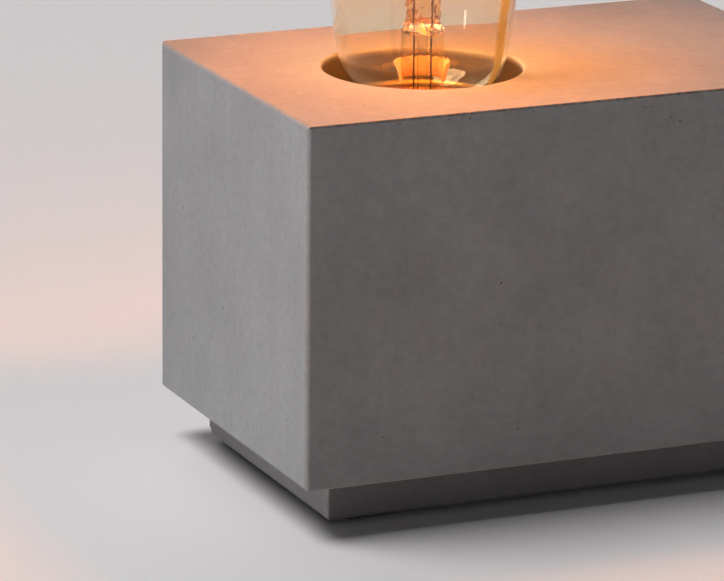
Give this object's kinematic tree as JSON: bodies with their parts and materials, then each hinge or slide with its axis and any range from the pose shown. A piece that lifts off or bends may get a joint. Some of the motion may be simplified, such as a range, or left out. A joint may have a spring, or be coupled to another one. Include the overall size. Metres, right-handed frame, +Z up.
{
  "type": "table lamp base",
  "caption": "Concrete block lamp base on a set-back plinth, with a screw lampholder sunk in a round recess and a screw-in bulb.",
  "frame": {"origin": "middle of the footprint, on the table under the feet", "axes": "+X along the block's length to the right, +Y to the back where the cord leaves, +Z up along the bulb"},
  "size_m": [0.175, 0.113, 0.2238],
  "materials": {
    "concrete": "fine cast concrete, matt",
    "plinth_concrete": "fine cast concrete, matt",
    "foot_rubber": "matt",
    "insert_brass": "turned",
    "screw_steel": "zinc plated",
    "grommet_rubber": "matt",
    "clamp_plastic": "moulded",
    "terminal_plastic": "moulded",
    "contact_bronze": "sprung strip",
    "live_insulation": "extruded",
    "neutral_insulation": "extruded",
    "earth_insulation": "extruded, striped",
    "holder_brass": "spun and lacquered",
    "porcelain": "glazed",
    "shell_brass": "nickel plated",
    "tip_solder": "solder",
    "black_glass": "fused",
    "cap_brass": "rolled",
    "amber_glass": "amber tinted, blown",
    "stem_glass": "clear, drawn",
    "gold_foil": "crumpled foil",
    "dark_wire": "drawn wire",
    "filament_wire": "glowing coil"
  },
  "bodies": {
    "base": {"concrete_block": "concrete", "base_slab": "plinth_concrete", "feet": "foot_rubber", "block_inserts": "insert_brass", "slab_screws": "screw_steel", "cord_grommet": "grommet_rubber", "cord_clamp": "clamp_plastic", "clamp_screws": "screw_steel", "small_inserts": "insert_brass", "terminal_body": "terminal_plastic", "terminal_barrels": "insert_brass", "terminal_screws": "screw_steel", "terminal_fixings": "screw_steel", "nipple": "insert_brass", "seat_washer": "screw_steel", "chamber_washer": "screw_steel", "earth_tag": "contact_bronze", "nipple_nut": "screw_steel", "live_lead": "live_insulation", "neutral_lead": "neutral_insulation", "earth_lead": "earth_insulation", "holder_cap": "holder_brass", "grub_screw": "screw_steel", "holder_sleeve": "holder_brass", "holder_insert": "porcelain", "screw_shell": "shell_brass", "centre_contact": "contact_bronze", "side_contact": "contact_bronze", "holder_posts": "insert_brass", "post_screws": "screw_steel"},
    "bulb_foot": {"bulb_tip": "tip_solder"},
    "bulb": {"bulb_insulator": "black_glass", "bulb_cap": "cap_brass", "bulb_glass": "amber_glass", "bulb_stem": "stem_glass", "foil_collar": "gold_foil", "exhaust_tube": "stem_glass", "lead_wires": "dark_wire", "glass_rod": "stem_glass", "support_wires": "dark_wire", "filament": "filament_wire"}
  },
  "joints": [
    {"name": "bulb_lift", "type": "slide", "parent": "base", "child": "bulb_foot", "axis": [0, 0, 1], "range_m": [0, 0.01452]},
    {"name": "bulb_turn", "type": "hinge", "parent": "bulb_foot", "child": "bulb", "pos_m": [-0.028, 0, 0.0823], "axis": [0, 0, 1], "range_deg": [0, 1440]}
  ],
  "couplings": [
    {"joint": "bulb_lift", "follows": "bulb_turn", "m_per_rad": 0.00057751}
  ]
}
